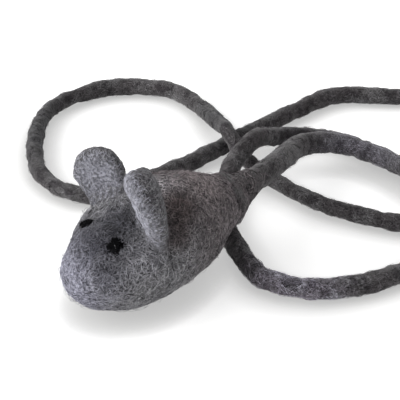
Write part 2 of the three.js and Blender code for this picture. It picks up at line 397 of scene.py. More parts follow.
BROWN = (0.72, 0.645, 0.632)
BROWN_BACKWARDS = (-12 * MM, 20 * MM)
BROWN_UPWARDS = (8 * MM, 50 * MM)
BROWN_LOW_SHARE = 0.6
# The spots at the brow, round the eyes, behind both ears and before the left ear's root are painted shade;
# the two on top of the back are painted highlights.
BODY_TONES_AND_PAINTED_LIGHT = [
    ((0, -53, 24), 36, (1.02, 1.025, 1.15)), ((4, -33, 51), 27, (0.45, 0.45, 0.48)),
    ((16, -39, 42), 18, (0.74, 0.74, 0.76)), ((-16, -39, 42), 18, (0.74, 0.74, 0.76)),
    ((22, -38, 30), 14, (0.9, 0.9, 0.92)), ((26, -24, 40), 14, (1.2, 1.2, 1.23)),
    ((18, 3, 55), 15, (0.58, 0.5, 0.48)), ((-18, 3, 55), 15, (0.58, 0.5, 0.48)),
    ((26, -5, 47), 13, (0.52, 0.46, 0.45)), ((-26, -5, 47), 13, (0.52, 0.46, 0.45)),
    ((3, 5, 61), 13, (1.75, 1.74, 1.74)), ((8, 26, 56), 18, (1.4, 1.38, 1.36)),
    ((9, -24, 54), 12, (0.62, 0.62, 0.64)),
]


def body_tint_and_painted_light(maths, coordinates, colour):
    """Brown over the back, the snout's spot, painted shade on the brow and behind the ears, and painted
    highlights.
    """
    along = maths.node("SeparateXYZ", {"Vector": coordinates}, output=1)
    up = maths.node("SeparateXYZ", {"Vector": coordinates}, output=2)
    brown_share = along.spread(*BROWN_BACKWARDS) * up.spread(*BROWN_UPWARDS, BROWN_LOW_SHARE, 1)
    return spotted(maths, coordinates, colour.toned(brown_share, BROWN), BODY_TONES_AND_PAINTED_LIGHT)


EAR_BACK_PAINTED_SHADE = (0.38, 0.36, 0.35)


def ear_painted_shade(maths, coordinates, colour):
    """The face of an ear is light and bluish, and its rim and back are darker: painted shade."""
    lit_face_share = maths.node("Attribute", output=2, attribute_name="face")
    return colour.toned(1 - lit_face_share, EAR_BACK_PAINTED_SHADE)


CREASE_PAINTED_SHADE = (0.3, 0.29, 0.3)
ROPE_PATCH_SHIFT = 0.8
ROPE_PATCH_SCALE = 60
ROPE_PATCH_RANGE = (0.4, 0.6)
ROPE_PATCH_TONE = (0.66, 0.63, 0.64)
ROPE_SPOT_SHIFT = 0.6
ROPE_SPOT_SCALE = 150
ROPE_SPOT_RANGE = (0.5, 0.64)
ROPE_SPOT_TONE = (0.48, 0.46, 0.48)
# The spot under the rump is a painted shadow where the rope runs beneath the body; the arc beside the body is
# lighter, partly as wool and partly as painted light.
ROPE_TONES_AND_PAINTED_LIGHT = [
    ((-8, 170, 14), 44, (1.45, 1.45, 1.6)), ((55, 48, 2), 38, (2.5, 2.5, 2.75)),
    ((2, 54, 4), 24, (0.55, 0.5, 0.52)), ((-54, 122, 22), 24, (0.6, 0.55, 0.57)),
    ((-57, 160, 8), 22, (0.5, 0.48, 0.52)), ((-102, 131, 12), 42, (0.52, 0.53, 0.54)),
    ((-172, 40, 6), 62, (0.55, 0.56, 0.58)), ((-185, 140, 6), 34, (1.35, 1.35, 1.35)),
    ((-90, 200, 6), 50, (0.7, 0.66, 0.68)),
]


def rope_colour_and_painted_light(maths, coordinates, colour):
    """Patches and spots of darker wool, lighter and darker stretches, and painted shadow and light."""
    patches = cloudy(maths, coordinates, ROPE_PATCH_SCALE, ROPE_PATCH_SHIFT).spread(*ROPE_PATCH_RANGE)
    spots = cloudy(maths, coordinates, ROPE_SPOT_SCALE, ROPE_SPOT_SHIFT).spread(*ROPE_SPOT_RANGE)
    colour = colour.toned(patches, ROPE_PATCH_TONE).toned(spots, ROPE_SPOT_TONE)
    return spotted(maths, coordinates, colour, ROPE_TONES_AND_PAINTED_LIGHT)


def rope_tint_and_crease_shade(maths, coordinates, colour):
    """Painted shade in the creases, whose depth the mesh carries as an attribute."""
    crease_shade_share = maths.node("Attribute", output=2, attribute_name="crease")
    return rope_colour_and_painted_light(maths, coordinates, colour.toned(crease_shade_share, CREASE_PAINTED_SHADE))


print("soft spots:", len(BODY_TONES_AND_PAINTED_LIGHT), "on the body,", len(ROPE_TONES_AND_PAINTED_LIGHT), "on the rope")

# %% [markdown]
# The toy has four felts and six kinds of loose wool. The eyes and the dark strands are nearly black.
# The others are greys, a little warmer on the rope and bluer on the ears.

# %% Materials
body_felt = felt(
    "body_felt", gap=(0.022, 0.021, 0.023), wool=(0.125, 0.123, 0.13), light=(0.32, 0.315, 0.33),
    tint=body_tint_and_painted_light, sheen=0.4, lines_share=0.5, height=0.4, blotch_share=0.12,
)
ear_felt = felt(
    "ear_felt", gap=(0.065, 0.065, 0.074), wool=(0.25, 0.25, 0.285), light=(0.42, 0.42, 0.47),
    tint=ear_painted_shade, blotch_share=0.1,
)
rope_felt = felt(
    "rope_felt", gap=(0.03, 0.028, 0.029), wool=(0.12, 0.115, 0.118), light=(0.22, 0.213, 0.22),
    tint=rope_tint_and_crease_shade, sheen=0.3, lines_share=0.3,
)
eye_wool = felt(
    "eye_wool", gap=(0.0015, 0.0015, 0.002), wool=(0.004, 0.004, 0.005), light=(0.012, 0.012, 0.013), sheen=0,
)
mid_fibre = loose_wool("mid_fibre", (0.14, 0.138, 0.147), (0.28, 0.276, 0.294), body_tint_and_painted_light)
light_fibre = loose_wool("light_fibre", (0.37, 0.366, 0.385), (0.6, 0.594, 0.62), body_tint_and_painted_light)
ear_fibre = loose_wool("ear_fibre", (0.28, 0.28, 0.315), (0.56, 0.56, 0.63))
# The rim fibre is darker: on the ears' rims and backs it is painted shade, and on the eyes painted glints.
rim_fibre = loose_wool("rim_fibre", (0.12, 0.118, 0.125), (0.32, 0.314, 0.33))
rope_fibre = loose_wool("rope_fibre", (0.14, 0.135, 0.141), (0.37, 0.36, 0.377), rope_colour_and_painted_light)
dark_fibre = loose_wool("dark_fibre", (0.012, 0.011, 0.012), (0.03, 0.028, 0.029))
print("materials", [m.name for m in bpy.data.materials])

# %% [markdown]
# A new piece is made in a bmesh, moved into place point by point, and put into the scene as a smooth
# object at the origin. Blender closes a ball's poles in a way that leaves its edges and faces in a
# chance order, so they are sorted by their points, and every run gives the same piece. A tube or a
# fibre is a curve with a round bevel, which is turned into a mesh.

# %% Put a piece into the scene
ORDER_STEP = 1e5


def place_mesh(name, mesh, material):
    """A smooth object at the origin, with one material."""
    for polygon in mesh.polygons:
        polygon.use_smooth = True
    mesh.materials.clear()
    mesh.materials.append(material)
    made = bpy.data.objects.new(name, mesh)
    bpy.context.scene.collection.objects.link(made)
    print(name, len(mesh.vertices), "points")
    return made


def corner_order(element):
    """A number for an edge or a face to be sorted by, from the first three of its points."""
    first, second, third = (sorted(vert.index for vert in element.verts) + [0])[:3]
    return (first * ORDER_STEP + second) * ORDER_STEP + third


def piece(name, mesh_maker, material):
    """A piece whose mesh a function makes in a bmesh."""
    mesh = bpy.data.meshes.new(name)
    bm = bmesh.new()
    mesh_maker(bm)
    bm.verts.index_update()
    bm.edges.sort(key=corner_order)
    bm.faces.sort(key=corner_order)
    bmesh.ops.recalc_face_normals(bm, faces=bm.faces)
    bm.to_mesh(mesh)
    bm.free()
    return place_mesh(name, mesh, material)


def tubes(name, paths, material, bevel=0):
    """Round tubes along paths, each a list of places with a radius, as one mesh."""
    data = bpy.data.curves.new(name, "CURVE")
    data.dimensions = "3D"
    data.bevel_depth = 1
    data.bevel_resolution = bevel
    data.use_fill_caps = bevel > 0
    for path in paths:
        spline = data.splines.new("POLY")
        spline.points.add(len(path) - 1)
        spline.points.foreach_set("co", [number for place, _ in path for number in (*place, 1)])
        spline.points.foreach_set("radius", [radius for _, radius in path])
    holder = bpy.data.objects.new(name, data)
    bpy.context.scene.collection.objects.link(holder)
    depsgraph = bpy.context.evaluated_depsgraph_get()
    mesh = bpy.data.meshes.new_from_object(holder.evaluated_get(depsgraph))
    bpy.data.objects.remove(holder)
    bpy.data.curves.remove(data)
    mesh.name = name
    return place_mesh(name, mesh, material)


def lumps(place, rows):
    """An uneven, handmade surface: clouds of bumps, each with a height, a size and a seed."""
    total = 0
    for height, size, seed in rows:
        total += height * noise.noise(place / size + Vector((seed, seed * 2, -seed)))
    return total


def ramp(value, low, high):
    """0 below low and 1 above high, with a straight line between."""
    return max(0, min(1, (value - low) / (high - low)))


def square_to(direction, axis):
    """A direction turned so far that it is square to an axis, one unit long."""
    return (direction - axis * direction.dot(axis)).normalized()


def surface_of(*objects):
    """A tree that finds the nearest place on the surface of some pieces."""
    points, faces = [], []
    for made in objects:
        first = len(points)
        points += [v.co.copy() for v in made.data.vertices]
        faces += [[first + i for i in p.vertices] for p in made.data.polygons]
    return BVHTree.FromPolygons(points, faces)


# %% [markdown]
# The body starts as a ball whose every point is sent to its place on the outline. Felting by hand
# leaves shallow lumps. Round the eyes the wool is stabbed in hard, so the brow falls away behind a
# round snout, and each eye sits in a hollow of its own. The mirrored brow spots lie above both eyes,
# and one more shallow hollow is in the right cheek.

# %% Body
EYE_ALONG_SHARE = {"left": 0.1945, "right": 0.194}
EYE_ANGLE = {"left": math.radians(59.9), "right": math.radians(122)}
BROW_ALONG_SHARE = 0.235
BROW_ANGLE = math.radians(64)
BROW_DEPTH = 4.2 * MM
BROW_REACH = 13 * MM
CHEEK_ALONG_SHARE = 0.1
CHEEK_ANGLE = math.radians(152)
CHEEK_DEPTH = 2.4 * MM
CHEEK_REACH = 13 * MM
HOLLOW_DEPTH = 1.1 * MM
HOLLOW_REACH = 6 * MM
BODY_SEGMENTS = (240, 190)
POLE_RING = 1e-6
OUTWARD_STEP = 1 * MM
BODY_LUMPS = [(0.9 * MM, 17 * MM, 0), (0.5 * MM, 7 * MM, 3), (0.3 * MM, 2.2 * MM, 5)]
JOIN_REACH = 10 * MM


def body_place(direction, grow=0):
    """Where a direction from the middle of a ball lands on the body."""
    turn = math.acos(max(-1, min(1, -direction.y))) / math.pi * OUTLINE_STEPS
    first = min(int(turn), OUTLINE_STEPS - 1)
    here = outline_table[first].lerp(outline_table[first + 1], turn - first)
    ring = max(math.hypot(direction.x, direction.z), POLE_RING)
    return Vector((
        (BODY_WIDTH / 2 + grow) * here.y * direction.x / ring,
        (BODY_LENGTH / 2 + grow) * (2 * here.x - 1),
        settle + rise(here.x) + (BODY_HEIGHT / 2 + grow) * here.y * direction.z / ring,
    ))


def body_spot(along, angle):
    """A point on the plain form by its share of the length and its angle up from the left side."""
    here = min(outline_table, key=lambda p: abs(p.x - along))
    return Vector((
        BODY_WIDTH / 2 * here.y * math.cos(angle),
        BODY_LENGTH * along - BODY_LENGTH / 2,
        settle + rise(along) + BODY_HEIGHT / 2 * here.y * math.sin(angle),
    ))


def flare_gap(place):
    """Distance from a place to the surface of the tail's flare, negative inside it."""
    along = (place - rump).dot(aim)
    return (place - rump - aim * along).length - between(FLARE_PROFILE, along / MM) * MM


def fillet(gap):
    """How far a surface swells at a gap from another one, so that the corner between the two is rounded."""
    return JOIN_REACH / 4 * max(0, 1 - abs(gap) / JOIN_REACH) ** 2


def hollow(place, spot, depth, reach):
    """The depth at a place of a soft hollow round a spot."""
    return depth * math.exp(-((place - spot).length / reach) ** 2)


eye_spots = {name: body_spot(EYE_ALONG_SHARE[name], EYE_ANGLE[name]) for name in EYE_ALONG_SHARE}
brows = [body_spot(BROW_ALONG_SHARE, angle) for angle in (BROW_ANGLE, math.pi - BROW_ANGLE)]
cheek = body_spot(CHEEK_ALONG_SHARE, CHEEK_ANGLE)


def body_mesh(bm):
    """A ball sent to the body's form, with lumps, hollows and a soft rise to the tail's flare."""
    bmesh.ops.create_uvsphere(bm, u_segments=BODY_SEGMENTS[0], v_segments=BODY_SEGMENTS[1], radius=1)
    bmesh.ops.rotate(bm, verts=bm.verts, matrix=Matrix.Rotation(math.radians(90), 3, "X"))
    for vert in bm.verts:
        direction = vert.co.normalized()
        place = body_place(direction)
        out = (place - body_place(direction, -OUTWARD_STEP)).normalized()
        move = lumps(place, BODY_LUMPS)
        for spot in brows:
            move -= hollow(place, spot, BROW_DEPTH, BROW_REACH)
        move -= hollow(place, cheek, CHEEK_DEPTH, CHEEK_REACH)
        for spot in eye_spots.values():
            move -= hollow(place, spot, HOLLOW_DEPTH, HOLLOW_REACH)
        place += out * (move + fillet(flare_gap(place)))
        place.z = max(place.z, 0)
        vert.co = place


body = piece("mouse_skin", body_mesh, body_felt)
body_surface = surface_of(body)


def above_body(place):
    """Height above the body's surface, negative inside, and the way out of it."""
    nearest, normal, _, _ = body_surface.find_nearest(place)
    return (place - nearest).dot(normal), normal


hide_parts("body_shell", "wool_core", "catnip_filling")
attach(body, "mouse_body")

# %% [markdown]
# An ear is a thick pad of felt, dished to the front, whose lower half narrows to a neck and spreads
# again where its fibres are worked into the head. It starts as a ball: its rings become the pad's
# face, rim and back, and near the head every point is pushed outwards, which makes the soft foot.

# %% Ears
EAR_FROM_NOSE_SHARE = 40.5 / 106
EAR_SPREAD = 18.5 * MM
EAR_DEPTH = 3.5 * MM
EAR_MIDDLE = 15 * MM
EAR_TOE = {"left": math.radians(19), "right": math.radians(27)}
EAR_LEAN = math.radians(8)
EAR_TILT = math.radians(9)
EAR_SIDE = {"left": 1, "right": -1}
EAR_FRONT = {"left": 8 * MM, "right": 4.6 * MM}
EAR_BACK = {"left": 4.1 * MM, "right": 4.2 * MM}
EAR_TALLER = {"left": 1.24, "right": 1}
EAR_THIN_SHARE = {"left": 0.4, "right": 0}
EAR_THIN_UP_TO = 13 * MM
EAR_DISH = {"left": 0.7 * MM, "right": 2.2 * MM}
EAR_SWELL = {"left": (4.8 * MM, 1.2 * MM), "right": (0, 0)}
EAR_SWELL_FROM = 10 * MM
EAR_LIT_FACE = {"left": (0.12, 0.3), "right": (0.4, 0.85)}
EAR_FOOT_HEIGHT = 6 * MM
EAR_FOOT_REACH = 3 * MM
EAR_FOOT_OUTER_SHARE = 0.6
EAR_FULLNESS = 0.8
EAR_SWELL_FULLNESS = 0.3
EAR_DISH_REACH_SHARE = 0.85
EAR_LUMPS = [(0.9 * MM, 8 * MM, 9), (0.35 * MM, 2.4 * MM, 4)]
EAR_LUMP_SIDE_SHARE = 0.3
EAR_SMOOTHING = 0.5
EAR_SEGMENTS = (140, 90)
EAR_OUTLINE = [Vector((x, y, 0)) * MM for x, y in (
    (16.4, 15), (14.6, 19.5), (11.6, 23.8), (7, 27.2), (1.5, 29.3), (-4, 29.5), (-8.8, 27.6),
    (-11.9, 23), (-12.9, 17), (-12.2, 11), (-10, 4), (-9, -4), (-6, -11), (0, -12), (6, -12),
    (9.5, -8), (11.2, -1), (14.2, 4), (16, 9.5), (16.4, 15),
)]


def ear_frame(name):
    """Root, and the directions outwards, up and out of the front of an ear."""
    side = EAR_SIDE[name]
    toe = EAR_TOE[name]
    level = Vector((-side * math.sin(toe), -math.cos(toe), 0))
    out = Vector((side * math.cos(toe), -math.sin(toe), 0))
    leaning = Vector((0, 0, 1)) * math.cos(EAR_LEAN) + level * math.sin(EAR_LEAN)
    front = level * math.cos(EAR_LEAN) - Vector((0, 0, 1)) * math.sin(EAR_LEAN)
    upward = leaning * math.cos(EAR_TILT) + out * math.sin(EAR_TILT)
    outward = upward.cross(front) * side
    wide = min(outline_table, key=lambda p: abs(p.x - EAR_FROM_NOSE_SHARE)).y
    root = body_spot(EAR_FROM_NOSE_SHARE, math.acos(EAR_SPREAD / (BODY_WIDTH / 2 * wide)))
    root.x *= side
    root.z -= EAR_DEPTH
    return root, outward, upward, front


def ear_height(name, ball, reach, thick, y):
    """How far a point of the ball stands out of the front of the pad, negative at its back."""
    swell = (max(0, y - EAR_SWELL_FROM) / (2 * EAR_SWELL_FROM)) ** 2
    full = abs(ball.z) ** EAR_SWELL_FULLNESS
    swell_front, swell_back = EAR_SWELL[name]
    if ball.z <= 0:
        return -EAR_BACK[name] * thick - swell * swell_back * full
    thin = 1 - EAR_THIN_SHARE[name] * (1 - ramp(y, 0, EAR_THIN_UP_TO))
    z = EAR_FRONT[name] * thick * thin
    if y > 0:
        z -= EAR_DISH[name] * max(0, 1 - (reach / EAR_DISH_REACH_SHARE) ** 2)
    return z + swell * swell_front * full


def ear_mesh(name):
    """A function that makes the pad of an ear in a bmesh."""
    root, outward, upward, front = ear_frame(name)

    def make(bm):
        bmesh.ops.create_uvsphere(bm, u_segments=EAR_SEGMENTS[0], v_segments=EAR_SEGMENTS[1], radius=1)
        face = bm.verts.layers.float.new("face")
        for vert in bm.verts:
            ball = vert.co.normalized()
            reach = min(1, math.hypot(ball.x, ball.y)) ** EAR_FULLNESS
            thick = abs(ball.z) ** EAR_FULLNESS
            rim = curve_point(EAR_OUTLINE, (math.atan2(ball.y, ball.x) / math.tau) % 1)
            x = rim.x * reach
            y = EAR_MIDDLE + (rim.y - EAR_MIDDLE) * reach
            if y > EAR_MIDDLE:
                y = EAR_MIDDLE + (y - EAR_MIDDLE) * EAR_TALLER[name]
            z = ear_height(name, ball, reach, thick, y)
            # how lit this point of the ear is; the rest is darkened as painted shade on the rim and back
            vert[face] = ramp(ball.z, *EAR_LIT_FACE[name])
            place = root + outward * x + upward * y + front * z
            height, normal = above_body(place)
            if height < EAR_FOOT_HEIGHT:
                away = front * (z / EAR_FRONT[name]) + outward * (x / EAR_MIDDLE)
                away = square_to(away, normal)
                outer_share = 1 - EAR_FOOT_OUTER_SHARE * max(0, x / EAR_MIDDLE)
                place += away * (1 - max(height, 0) / EAR_FOOT_HEIGHT) ** 2 * EAR_FOOT_REACH * outer_share
            out = (front * z + outward * x * EAR_LUMP_SIDE_SHARE).normalized()
            vert.co = place + out * lumps(place, EAR_LUMPS)
        bmesh.ops.smooth_vert(
            bm, verts=bm.verts, factor=EAR_SMOOTHING, use_axis_x=True, use_axis_y=True, use_axis_z=True,
        )

    return make


def blend_ear(made, name):
    """Bake the placing of a piece into its mesh."""
    root, _, upward, _ = ear_frame(name)
    root + upward * EAR_DEPTH
    root + upward * 10 * MM
    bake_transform(made)


ears = {}
for name in EAR_SIDE:
    ears[name] = piece(f"felt_ear_{name}", ear_mesh(name), ear_felt)
    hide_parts(f"ear_{name}")
    blend_ear(ears[name], name)

# %% [markdown]
# The eyes are tufts of black wool, stabbed into the head until they sit half sunk in their hollows.

# %% Eyes
EYE_WIDTH = {"left": 11.6 * MM, "right": 8.4 * MM}
EYE_THICKNESS = 4.4 * MM
EYE_SINK = 0.9 * MM
# Share of the size, lumps over a unit ball, and how much the place of the eye shifts them
EYE_LUMPS = [(0.28, 2.2, 300), (0.15, 6, 0)]
EYE_SEGMENTS = (48, 32)


def eye_mesh(spot, width):
    """A function that makes an uneven, flattened ball, sunk into the head at a spot."""
    nearest, normal, _, _ = body_surface.find_nearest(spot)

    def make(bm):
        bmesh.ops.create_uvsphere(bm, u_segments=EYE_SEGMENTS[0], v_segments=EYE_SEGMENTS[1], radius=1)
        turn = normal.to_track_quat("Z", "Y").to_matrix()
        for vert in bm.verts:
            ball = vert.co.normalized()
            uneven = 1
            for share, scale, shift in EYE_LUMPS:
                uneven += share * noise.noise(ball * scale + spot * shift)
            flat = Vector((ball.x * width / 2, ball.y * width / 2, ball.z * EYE_THICKNESS / 2)) * uneven
            vert.co = nearest - normal * EYE_SINK + turn @ flat

    return make


eyes = {}
for name, spot in eye_spots.items():
    eyes[name] = piece(f"wool_eye_{name}", eye_mesh(spot, EYE_WIDTH[name]), eye_wool)
    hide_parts(f"eye_{name}")
    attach(eyes[name], "mouse_body")

# %% [markdown]
# The rope is a tube along the route, made uneven afterwards. It is thickest near the rump and gets
# thinner where it was rolled harder. On the inner side of each bend the felt creases into deeper
# lumps.

# %% Rope
ROPE_RING_STEP = 1.5 * MM
ROPE_BEVEL = 6
ROPE_RADII = [
    (0, 7), (30, 6.9), (80, 6.8), (115, 6), (240, 5.4), (340, 5.4), (380, 5.8), (540, 5.9),
    (640, 5.2), (730, 4.8), (840, 4.8), (870, 5.3), (920, 6), (965, 6.2), (985, 5.9), (1015, 5),
    (1045, 5), (1060, 5.4), (1100, 5.2), (1140, 4.7), (1190, 5.5), (1260, 5.5), (1340, 5.6),
    (1365, 6.2), (1390, 6), (1430, 5.7),
]

ring_count = int(rope_length / ROPE_RING_STEP)
ring_runs = [rope_length * i / ring_count for i in range(ring_count + 1)]
ring_places = [at_run(distance) for distance in ring_runs]
ring_radii = [between(ROPE_RADII, distance / MM) * MM for distance in ring_runs]
rope = tubes("felt_rope", [list(zip(ring_places, ring_radii))], rope_felt, ROPE_BEVEL)

# %% [markdown]
# The creases lie at uneven distances, so they are drawn by a dice. A dice with a seed of its own
# throws the same numbers each time, and every random choice from here on uses this one.

# %% Lumps and creases of the rope
CREASE_FIRST = 20
CREASE_SPACING = (7, 27)
CREASE_DEPTH = 1.9 * MM
CREASE_WIDTH = 1.8 * MM
CREASE_SKEW = [(3 * MM, 8 * MM, 6)]
CREASE_FULL_BEND = 22
CREASE_ALL_ROUND_SHARE = 0.15
BEND_RINGS = 6
TINY = 1e-9
ROPE_LUMPS = [(0.9 * MM, 9 * MM, 1), (0.4 * MM, 3.4 * MM, 2)]
ROPE_CLEARANCE = 0.05 * MM

dice = random.Random(7)
creases = []
where = CREASE_FIRST
while where < rope_length / MM:
    creases.append(where * MM)
    where += dice.uniform(*CREASE_SPACING)
print(len(creases), "creases")


def bend_at(places, index):
    """The way to the inner side of the bend at a ring, longer where the bend is tighter."""
    before = places[max(index - BEND_RINGS, 0)]
    after = places[min(index + BEND_RINGS, len(places) - 1)]
    return (before + after - places[index] * 2) / ((after - before).length ** 2 + TINY)


def uneven_rope(made, places):
    """Handmade lumps on the tube, and creases across it that are deepest on the inner side of each bend."""
    tree = KDTree(len(places))
    for i, place in enumerate(places):
        tree.insert(place, i)
    tree.balance()
    shade = made.data.attributes.new("crease", "FLOAT", "POINT")
    for vert in made.data.vertices:
        middle, index, _ = tree.find(vert.co)
        out = (vert.co - middle).normalized()
        inner = out.dot(bend_at(places, index)) * CREASE_FULL_BEND * MM + CREASE_ALL_ROUND_SHARE
        run_here = ring_runs[index] + lumps(vert.co, CREASE_SKEW)
        to_crease = min(abs(run_here - crease) for crease in creases)
        crease = math.exp(-(to_crease / CREASE_WIDTH) ** 2) * max(0, min(1, inner))
        vert.co += out * lumps(vert.co, ROPE_LUMPS)
        vert.co -= out * crease * CREASE_DEPTH
        vert.co.z = max(vert.co.z, ROPE_CLEARANCE)
        # the depth of the crease also darkens it: painted shade in the crease
        shade.data[vert.index].value = crease


uneven_rope(rope, ring_places)
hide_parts("tail")
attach(rope, "mouse_body")

# %% [markdown]
# The flare is where the rope's wool is spread over the rump and felted in. It starts under the skin
# of the rump, swells out of it without a step, and narrows to the rope, whose first turns it covers.

# %% Flare at the root of the tail
FLARE_STEPS = 48
FLARE_BEVEL = 12
FLARE_LUMPS = [(1.3 * MM, 8 * MM, 1), (0.5 * MM, 3.4 * MM, 2)]
flare_path = []
for step in range(FLARE_STEPS + 1):
    reach = FLARE_PROFILE[0][0] + (FLARE_PROFILE[-1][0] - FLARE_PROFILE[0][0]) * step / FLARE_STEPS
    flare_path.append((rump + aim * reach * MM, between(FLARE_PROFILE, reach) * MM))
flare = tubes("felt_flare", [flare_path], rope_felt, FLARE_BEVEL)
for vert in flare.data.vertices:
    out = square_to(vert.co - rump, aim)
    vert.co += out * (lumps(vert.co, FLARE_LUMPS) + fillet(above_body(vert.co)[0]))
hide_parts("tail_root")
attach(flare, "mouse_body")

# %% [markdown]
# Loose fibres cover everything. Each one is a short walk over the surface: it keeps turning one way,
# so it curls, and its ends dip under the skin while its middle lifts a little. Thousands of them, in
# lighter and darker wool, make the surface look like felt from any side, and blur the edges of the
# toy.

# %% Fibres
TIP_DEPTH = 0.12 * MM
TIP_SHARE = 0.35
STRAND_CLEARANCE = 0.2 * MM
TURN_DRIFT = 0.12
SIZE_SHARES = (0.75, 1.25)
FEWER = 1


def scatter(spread=1):
    """A random vector, mostly no longer than about twice the spread."""
    return Vector([dice.gauss(0, spread) for _ in range(3)])


def walk(surface, start, steps, stride, curl, lift, heading=None):
    """A curling path over a surface, as places with the lift already in them."""
    foot, normal, _, _ = surface.find_nearest(start)
    if heading is None:
        heading = scatter()
    heading = square_to(heading, normal)
    turn = dice.choice((-1, 1)) * stride / (dice.uniform(*curl) * MM)
    places = []
    for i in range(steps + 1):
        height = lift * math.sin(math.pi * i / steps) - TIP_DEPTH
        spot = foot + normal * height
        spot.z = max(spot.z, STRAND_CLEARANCE)
        places.append(spot)
        heading.rotate(Matrix.Rotation(turn, 3, normal))
        turn += dice.gauss(0, TURN_DRIFT)
        foot, normal, _, _ = surface.find_nearest(foot + heading * stride)
        heading = square_to(heading, normal)
    return places


def fibres(
    name, surface, starts, material, width,
    steps=5, stride=1.15, curl=(2, 9), lift=(0.1, 0.7), headings=None,
):
    """One mesh of curling strands that start at the given places. Its sizes are in millimetres."""
    paths = []
    for i, start in enumerate(starts):
        heading = headings[i] if headings else None
        reach = dice.uniform(*SIZE_SHARES) * stride * MM
        places = walk(surface, start, steps, reach, curl, dice.uniform(*lift) * MM, heading)
        thick = width / 2 * dice.uniform(*SIZE_SHARES) * MM
        radii = [thick] * len(places)
        radii[0] = radii[-1] = thick * TIP_SHARE
        paths.append(list(zip(places, radii)))
    return tubes(name, paths, material)


# %% [markdown]
# The body has strands of three tones, more light ones at the snout, a few long ones and a few that
# stand off the skin.

# %% Fibres on the body
NOSE_FROM = -50 * MM
NOSE_TO = -15 * MM
DARK_OFF_NOSE_SHARE = 0.7


def on_body(count, keep=None):
    """Places spread over the body, kept or left out by a chance that depends on the place."""
    places = []
    while len(places) < count:
        place = body_place(scatter().normalized())
        if keep is None or dice.random() < keep(place):
            places.append(place)
    return places


def nose_share(place):
    """1 at the snout and 0 from the ears on."""
    return 1 - ramp(place.y, NOSE_FROM, NOSE_TO)


def off_nose_share(place):
    """1 from the ears on, and less at the snout."""
    return 1 - DARK_OFF_NOSE_SHARE * nose_share(place)


# Number of strands, material, width in millimetres and where they are
body_sets = {
    "mid_curls_a": (3800, mid_fibre, 0.21, None),
    "mid_curls_b": (3800, mid_fibre, 0.21, None),
    "light_curls_a": (3000, light_fibre, 0.19, None),
    "light_curls_b": (3000, light_fibre, 0.19, None),
    "snout_curls": (1700, light_fibre, 0.19, nose_share),
    "dark_curls": (1000, dark_fibre, 0.26, off_nose_share),
}
for name, (count, material, width, keep) in body_sets.items():
    made = fibres(name, body_surface, on_body(count // FEWER, keep), material, width)
    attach(made, "mouse_body")

# Number of strands, material, width, steps, stride, curl and lift
long_sets = {
    "long_curls": (520, light_fibre, 0.14, 11, 1.5, (5, 30), (0.3, 0.9)),
    "flyaways": (420, mid_fibre, 0.11, 7, 1.3, (3, 14), (0.8, 2.4)),
}
for name, (count, *shape) in long_sets.items():
    made = fibres(name, body_surface, on_body(count // FEWER), *shape)
    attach(made, "mouse_body")

# %% [markdown]
# The ears have lighter and bluer wool, and their fibres run down over the foot on to the head, so
# that there is no seam.

# %% Fibres on the ears
EAR_CURLS = 1500
RIM_CURLS = 1700
FOOT_CURLS = 300
EAR_CURL = (1.5, 7)
EAR_STRAND_WIDTH = 0.2
FOOT_STRAND_WIDTH = 0.28
EAR_SUNK = 0.5 * MM
EAR_FOOT_TOP = 5 * MM
RIM_OVERLAP_SHARE = 0.8
FOOT_SPREAD = 0.5

for name in EAR_SIDE:
    ear_surface = surface_of(ears[name])
    head_and_ear = surface_of(body, ears[name])
    face = ears[name].data.attributes["face"].data
    points = [(v.co.copy(), face[v.index].value, above_body(v.co)[0]) for v in ears[name].data.vertices]
    outer = [point for point in points if point[2] > -EAR_SUNK]
    foot = [place for place, _, height in outer if height < EAR_FOOT_TOP]
    # Light strands go where the ear is lit, and darker ones on its rim and back as painted shade.
    light = [place for place, share, _ in outer if dice.random() < share]
    dark = [place for place, share, _ in outer if dice.random() > share * RIM_OVERLAP_SHARE]
    starts = dice.choices(light, k=EAR_CURLS // FEWER)
    made = fibres(f"ear_curls_{name}", ear_surface, starts, ear_fibre, EAR_STRAND_WIDTH, curl=EAR_CURL)
    blend_ear(made, name)
    starts = dice.choices(dark, k=RIM_CURLS // FEWER)
    made = fibres(f"rim_curls_{name}", ear_surface, starts, rim_fibre, EAR_STRAND_WIDTH, curl=EAR_CURL)
    blend_ear(made, name)
    down = -ear_frame(name)[2]
    starts = dice.choices(foot, k=FOOT_CURLS // FEWER)
    headings = [down + scatter(FOOT_SPREAD) for _ in starts]
    made = fibres(
        f"foot_curls_{name}", head_and_ear, starts, mid_fibre, FOOT_STRAND_WIDTH,
        steps=7, stride=1.1, curl=(3, 10), lift=(0.2, 1), headings=headings,
    )
    blend_ear(made, name)

# %% [markdown]
# Black strands make the eyes ragged, and a few more curl out of them over the head. Three grey
# strands on each eye are painted glints.

# %% Fibres round the eyes
EYE_CURLS = 70
EYE_CURL_REACH = 2.6
EYE_GLINTS = 3
EYE_GLINT_SPREAD = 1.2 * MM
EYE_STRAND_WIDTH = 0.5
GLINT_WIDTH = 0.2


def round_eye():
    """A random step from the middle of an eye that stays on the tuft."""
    return Vector([dice.uniform(-EYE_CURL_REACH, EYE_CURL_REACH) * MM for _ in range(3)])


for name, spot in eye_spots.items():
    head_and_eye = surface_of(body, eyes[name])
    starts = [spot + round_eye() for _ in range(EYE_CURLS)]
    made = fibres(
        f"eye_curls_{name}", head_and_eye, starts, eye_wool, EYE_STRAND_WIDTH,
        stride=0.7, curl=(1, 3), lift=(0.2, 0.8),
    )
    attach(made, "mouse_body")
    # painted glints: a few grey strands on each black eye
    starts = [spot + scatter(EYE_GLINT_SPREAD) for _ in range(EYE_GLINTS)]
    made = fibres(
        f"eye_glints_{name}", head_and_eye, starts, rim_fibre, GLINT_WIDTH,
        stride=0.8, curl=(1.5, 4), lift=(0.3, 0.9),
    )
    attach(made, "mouse_body")

